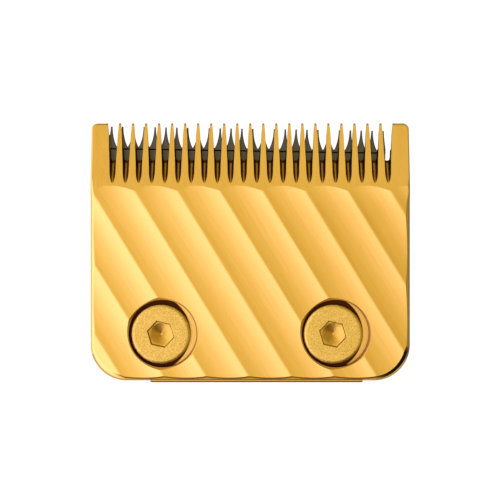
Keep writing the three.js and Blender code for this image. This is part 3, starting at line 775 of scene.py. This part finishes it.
def clamp_screw(side_name):
    low, high = extent("clamp_screw_" + side_name)
    x, _, z = middle("clamp_screw_" + side_name)
    head = (high[0] - low[0]) / 2
    top, end = low[1], high[1]
    corner, socket, shank = 1.91, 0.7, 2.0
    drill = corner * 0.85
    rows = [
        (0, top + socket + 0.9, 0),
        (drill * 0.15, top + socket + 0.78, 0),
        (drill * 0.85, top + socket + 0.1, 0),
        (drill, top + socket, 0),
        (0, top + socket, 0.98),
        (0, top + 0.16, 1.0),
        (0, top + 0.04, 1.05),
        (0, top, 1.09),
        (corner * 1.3, top, 0),
        (head - 0.6, top, 0),
        (head - 0.36, top, 0),
        (head - 0.3, top + 0.015, 0),
        (head - 0.06, top + 0.15, 0),
        (head, top + 0.25, 0),
        (head, top + 1.2, 0),
        (head - 0.1, top + 1.3, 0),
        (shank, top + 1.3, 0),
        (shank, end - 0.3, 0),
        (shank - 0.3, end, 0),
        (0, end, 0),
    ]
    screw = socket_screw("screw", rows, corner, math.radians(47))
    put(screw, "clamp_screw_" + side_name, SCREW_GOLD, Matrix.Translation((x, 0, z)), smooth=24)


def small_screw(node, head, height, shank, length, under, toward, x, z, place):
    """A small hex-socket screw; under is the depth of its head's underside, and toward is the side
    that its head is on."""
    corner = head * 0.55
    rows = [(0, height * 0.4, 0), (0, height * 0.45, 0.98), (0, height - 0.05, 1.0), (0, height, 1.06),
            (head - 0.2, height, 0), (head - 0.06, height - 0.05, 0), (head, height - 0.2, 0),
            (head, 0, 0), (shank, 0, 0), (shank, 0.2 - length, 0), (shank - 0.2, -length, 0),
            (0, -length, 0)]
    rows = [(r, under + toward * y, h) for r, y, h in rows]
    screw = socket_screw("screw", rows, corner, 0.3, 72)
    put(screw, node, STEEL, place @ Matrix.Translation((x, 0, z)), smooth=24)


# ---- Carrier ----

def chamfered_plate(name, x0, x1, y0, y1, z0, z1, radius, edge, steps=16):
    """A plate with round corners whose front and back edges are chamfered."""
    outer = rounded(x0, x1, z0, z1, radius, steps)
    inner = rounded(x0 + edge, x1 - edge, z0 + edge, z1 - edge, max(radius - edge, 0.05), steps)
    rings = [(inner, y0), (outer, y0 + edge), (outer, y1 - edge), (inner, y1)]
    return skin(name, np.stack([at_depth(section, y) for section, y in rings]))


BRACKET_BACK = -0.3
EAR_INNER, EAR_THICK, EAR_RADIUS, PIN_Y, PIN_Z = 10.2, 1.2, 2.2, 3.0, 6.5


def along_x(name, profile, steps=64, ring=False):
    """Turns a profile of radius and distance pairs about the X direction."""
    piece = turned(name, profile, steps=steps, ring=ring)
    piece.data.transform(Matrix.Rotation(math.radians(-90), 4, "Z"))
    return piece


def outwards(piece, side):
    """Lays a piece that is turned about X on the spring pin's axis, its far end away from the
    middle."""
    if side < 0:
        piece.data.transform(Matrix.Rotation(math.pi, 4, "Z"))
    piece.data.transform(Matrix.Translation((0, PIN_Y, PIN_Z)))
    return piece


def ear(side):
    """A spring ear: a flat root and a half round end about the pin, drawn in Y and Z and carried
    along X, with its edges drawn in at both faces."""
    edge = 0.15
    sections = []
    for inset in (edge, 0, 0, edge):
        radius = EAR_RADIUS - inset
        end = arc(PIN_Y, PIN_Z, radius, -90, 90, 25)
        root = [(-0.6, PIN_Z + radius), (-0.6, PIN_Z - radius)]
        sections.append(np.concatenate([end, root]))
    inner = EAR_INNER
    stations = np.array([inner, inner + edge, inner + EAR_THICK - edge, inner + EAR_THICK]) * side
    rows = [np.column_stack([np.full(len(s), x), s]) for x, s in zip(stations, sections)]
    return skin("ear", np.stack(rows))


def blade_bracket():
    bracket = chamfered_plate("bracket", -17, 17, -2.45, BRACKET_BACK, -6.86, 9, 3, 0.25)
    join_on(bracket, chamfered_plate("seat", -8.2, 8.2, BRACKET_BACK - 0.5, 0, -6.86, 2.2, 1, 0.1))
    for _, side in LEFT_RIGHT:
        join_on(bracket, ear(side))
    combine(bracket, block("pocket", -5.4, 5.4, -4, -1.3, 0.6, 11))
    for _, side in LEFT_RIGHT:
        insert_hole = [(0, -4), (3.14, -4), (3.14, -0.5), (3.44, -0.2), (0, -0.2)]
        combine(bracket, turned("insert_hole", insert_hole, side * SCREW_X, 0, 96))
        nose_hole = [(0, -4), (1.25, -4), (1.25, -0.3), (1.85, 0.3), (0, 0.3)]
        combine(bracket, turned("nose_hole", nose_hole, side * 5, -3.4, 48))
        screw_hole = [(0, -2), (0.91, -2), (0.91, -0.35), (0, -0.35)]
        combine(bracket, turned("screw_hole", screw_hole, side * GUIDE_SCREW_X, GUIDE_SCREW_Z, 32))
        bore = along_x("bore", [(0, 9), (1.04, 9), (1.04, 13), (0, 13)])
        combine(bracket, outwards(bore, side))
    put(bracket, "blade_bracket", ALUMINIUM, BRACKET_PLACE, smooth=24)


def ring_part(node, material, hole, outer, y0, y1, edge, x, place):
    """A flat ring with its outer and hole edges chamfered."""
    profile = [(hole + edge, y0), (outer - edge, y0), (outer, y0 + edge), (outer, y1 - edge),
               (outer - edge, y1), (hole + edge, y1), (hole, y1 - edge), (hole, y0 + edge)]
    put(turned(node, profile, x, 0, 96, ring=True), node, material, place, smooth=24)


def spring_pin(side_name, side):
    start, end, radius, head = 9.2, 17.4, 1.0, 1.6
    neck, neck_start, neck_end = 0.7, 9.65, 10.05
    profile = [(0, start), (radius - 0.2, start), (radius, start + 0.2),
               (radius, neck_start), (neck, neck_start), (neck, neck_end), (radius, neck_end),
               (radius, end - 0.5), (head - 0.1, end - 0.5), (head, end - 0.4),
               (head, end - 0.15), (head - 0.15, end), (0, end)]
    pin = outwards(along_x("pin", profile), side)
    put(pin, "spring_pin_" + side_name, STEEL, BRACKET_PLACE, smooth=24)


def pin_clip(side_name, side):
    """A flat open ring in the pin's groove: a square section carried round an arc that stops short
    of its mouth."""
    hole, outer, thick, start = 0.78, 1.9, 0.3, 9.7
    gap = math.asin(0.55 / 1.4)
    angle = np.linspace(gap, 2 * np.pi - gap, 60)[:, None]
    edge = 0.05
    section = np.array([(hole, 0), (outer - edge, 0), (outer, edge), (outer, thick - edge),
                        (outer - edge, thick), (hole, thick)])
    radius, across = section[:, 0], section[:, 1]
    grid = np.stack([side * (start + across + 0 * angle), PIN_Y + radius * np.cos(angle),
                     PIN_Z + radius * np.sin(angle)], -1)
    put(skin("clip", grid), "pin_clip_" + side_name, WIRE, BRACKET_PLACE, smooth=24)


def tension_spring(side_name, side):
    """A torsion spring. Its coil is a helix about the pin: depth is the pin's less radius
    cos(angle), height the pin's plus radius sin(angle), and X grows evenly. Both arms leave the
    coil along its front, one down to the bracket and one up to the cutter's back, and each ends in
    a small turned-up foot."""
    coil, wire, turns, start, pitch = 1.65, 0.35, 5, 11.95, 0.9
    foot_rise, foot_part = 0.35, 0.14
    front = PIN_Y - coil
    angle = np.linspace(0, 2 * np.pi * turns, turns * 40 + 1)
    helix = np.stack([start + pitch * angle / (2 * np.pi), PIN_Y - coil * np.cos(angle),
                      PIN_Z + coil * np.sin(angle)], -1)
    part = np.linspace(0, 1, 24)[:-1, None]

    def arm(x, end_y, end_z):
        """From the foot to the coil: straight, but for a foot that curves up in its last
        seventh."""
        path = part * np.array([0, front - end_y, PIN_Z - end_z]) + np.array([x, end_y, end_z])
        path[:, 1] += foot_rise * np.clip(1 - part[:, 0] / foot_part, 0, 1) ** 2
        return path

    lower = arm(start, 0.12, 2.4)
    upper = arm(start + turns * pitch, 0.17, 12.8)[::-1]
    path = np.concatenate([lower, helix, upper]) * np.array([side, 1, 1])
    put(tube("spring", path, wire), "tension_spring_" + side_name, WIRE, BRACKET_PLACE, smooth=40)


def cutter_guide():
    guide = chamfered_plate("guide", -13, 13, -2.4, -1.42, 13.6, 16.4, 0.5, 0.12)
    join_on(guide, chamfered_plate("stem", -5, 5, -2.4, -1.42, 1, 15, 1, 0.12))
    for _, side in LEFT_RIGHT:
        combine(guide, turned("hole", [(0, -4), (1.15, -4), (1.15, 0), (0, 0)],
                              side * GUIDE_SCREW_X, GUIDE_SCREW_Z, 48))
    put(guide, "cutter_guide", STEEL, CANTED_PLACE, smooth=24)


def drive_yoke():
    """The follower: a base with round corners, a tower round the drive slot, and a rib on each side
    of it."""
    face, seat, top = -0.2, 1.1, 5.8
    yoke = chamfered_plate("yoke", -7.8, 7.8, face, seat, 10.4, 20.2, 1.2, 0.15)
    join_on(yoke, chamfered_plate("tower", -4, 4, seat - 0.5, top, 10.4, 20.2, 1.2, 0.2))
    for _, side in LEFT_RIGHT:
        rib = np.array([(side * 3.5, seat - 0.3), (side * 7.2, seat - 0.3), (side * 7.2, seat + 0.1),
                        (side * 3.9, 4.4), (side * 3.5, 4.4)])
        rows = [np.column_stack([rib, np.full(len(rib), z)]) for z in (13.0, 14.0)]
        join_on(yoke, skin("rib", np.stack(rows)))
    slot = chamfered_plate("slot", -2.5, 2.5, 0.9, top + 1, 11.5, 19.1, 1.2, 0.05)
    combine(yoke, slot)
    lead = np.stack([at_depth(rounded(-2.5 - g, 2.5 + g, 11.5 - g, 19.1 + g, 1.2 + g), y)
                     for g, y in ((-0.3, top - 0.6), (0.6, top + 0.3))])
    combine(yoke, skin("lead_in", lead))
    for _, side in LEFT_RIGHT:
        combine(yoke, turned("hole", [(0, face - 1), (1.05, face - 1), (1.05, seat + 1), (0, seat + 1)],
                             side * YOKE_SCREW_X, YOKE_SCREW_Z, 48))
    put(yoke, "drive_yoke", ACETAL, CUTTER_PLACE, smooth=24)


fixed_blade()
moving_cutter()
blade_bracket()
cutter_guide()
drive_yoke()
for side_name, side in LEFT_RIGHT:
    clamp_screw(side_name)
    small_screw("yoke_screw_" + side_name, head=1.6, height=0.9, shank=0.9, length=3.0, under=1.12,
                toward=1, x=side * YOKE_SCREW_X + CUTTER_SHIFT, z=YOKE_SCREW_Z, place=CANTED_PLACE)
    small_screw("guide_screw_" + side_name, head=1.7, height=0.7, shank=0.85, length=1.9, under=-2.42,
                toward=-1, x=side * GUIDE_SCREW_X, z=GUIDE_SCREW_Z, place=CANTED_PLACE)
    ring_part("clamp_washer_" + side_name, STEEL, hole=2.2, outer=4.27, y0=-3.98, y1=-3.72,
              edge=0.04, x=side * SCREW_X, place=BRACKET_PLACE)
    ring_part("threaded_insert_" + side_name, STEEL, hole=2.05, outer=3.1, y0=-2.42, y1=-0.32,
              edge=0.15, x=side * SCREW_X, place=BRACKET_PLACE)
    spring_pin(side_name, side)
    pin_clip(side_name, side)
    tension_spring(side_name, side)


# ---- Stage and light ----

LIGHT_MIDDLE, LIGHT_SLOPE, LIGHT_CURVE, LIGHT_CURVE_FROM, LIGHT_UPWARD = 0.688, 0.75, 7.2, 0.42, 0.06
LIGHT_LEAST, LIGHT_MOST, LIGHT_BACK, LIGHT_LOW, LIGHT_FLOOR = 0.4, 1.7, 0.8, 0.08, 0.5
LIGHT_WARM, LIGHT_COOL = (1.07, 1.0, 0.6), (1.0, 1.01, 1.75)


def add_stage():
    """A pale floor that turns up into a backdrop: a straight run, a quarter circle and a straight
    rise."""
    reach, bend, floor = 600.0, 250.0, STRIP_HEEL
    angle = np.linspace(0, np.pi / 2, 24)
    y = np.concatenate([[-900], reach + bend * np.sin(angle), [reach + bend]])
    z = np.concatenate([[0], bend - bend * np.cos(angle), [900]]) + floor - 0.01
    x = np.array([-1500.0, 1500.0])
    grid = np.stack([np.broadcast_to(x, (len(y), 2)), np.repeat(y[:, None], 2, 1),
                     np.repeat(z[:, None], 2, 1)], -1)
    index = np.arange(2 * len(y)).reshape(-1, 2)
    faces = np.stack([index[:-1, 0], index[:-1, 1], index[1:, 1], index[1:, 0]], -1).tolist()
    mesh = bpy.data.meshes.new("stage")
    mesh.from_pydata((grid.reshape(-1, 3) * MM).tolist(), [], faces)
    mesh.shade_smooth()
    floor_object = bpy.data.objects.new("stage", mesh)
    bpy.context.scene.collection.objects.link(floor_object)
    made = Finish("pale_floor", (0.25, 0.25, 0.25), 0.9, 0.0)
    camera_sees = made.node("ShaderNodeLightPath")
    made.shader.inputs["Emission Strength"].default_value = 0.9
    made.feed("Emission Color", made.mix(camera_sees, (0, 0, 0), (1, 1, 1)))
    mesh.materials.append(made.material)
    floor_object.visible_glossy = False


def add_world():
    """Soft tinted light all round. Its level grows towards the left and the lower front, falls off
    a little upwards, and drops in a band low in front and to the right. Its colour goes from warm
    where it is dim to cool where it is bright."""
    world = bpy.data.worlds.new("studio")
    bpy.context.scene.world = world
    world.use_nodes = True
    nodes = Nodes(world.node_tree)
    place = nodes.node("ShaderNodeTexCoord")
    x, y, z = nodes.parts(place)
    toward = np.array([-0.8, -0.45, -0.3])
    toward /= np.linalg.norm(toward)
    facing = x * toward[0] + y * toward[1] + z * toward[2]
    over = (facing - LIGHT_CURVE_FROM).most(0.0)
    level = LIGHT_MIDDLE + facing * LIGHT_SLOPE + over * over * LIGHT_CURVE
    level = level - z.most(0.0) * LIGHT_UPWARD
    level = level.most(LIGHT_LEAST).least(LIGHT_MOST)
    level = level.most(nodes.fade(y, 0.1, 0.7, 0.0, LIGHT_BACK))
    # A dark band low in front and to the right, a little lighter straight below.
    band = nodes.fade(z, -0.5, -0.3, 1.0, 0.0) * nodes.fade(x, -0.45, -0.1)
    band = band * nodes.fade(y, 0.0, 0.3, 1.0, 0.0)
    below = 1.0 - band * (1.0 - LIGHT_LOW - nodes.fade(z, -0.7, -0.95, 0.0, LIGHT_FLOOR))
    warmth = nodes.node("ShaderNodeMapRange", {},
                        {"Value": facing, "From Min": 0.17, "From Max": 0.7})
    tint = nodes.mix(warmth ** 1.7, LIGHT_WARM, LIGHT_COOL)
    background = nodes.tree.nodes["Background"]
    nodes.tree.links.new((level * below).socket, background.inputs["Strength"])
    nodes.tree.links.new(tint.socket, background.inputs["Color"])


bpy.context.scene.view_settings.view_transform = "Standard"
add_stage()
add_world()
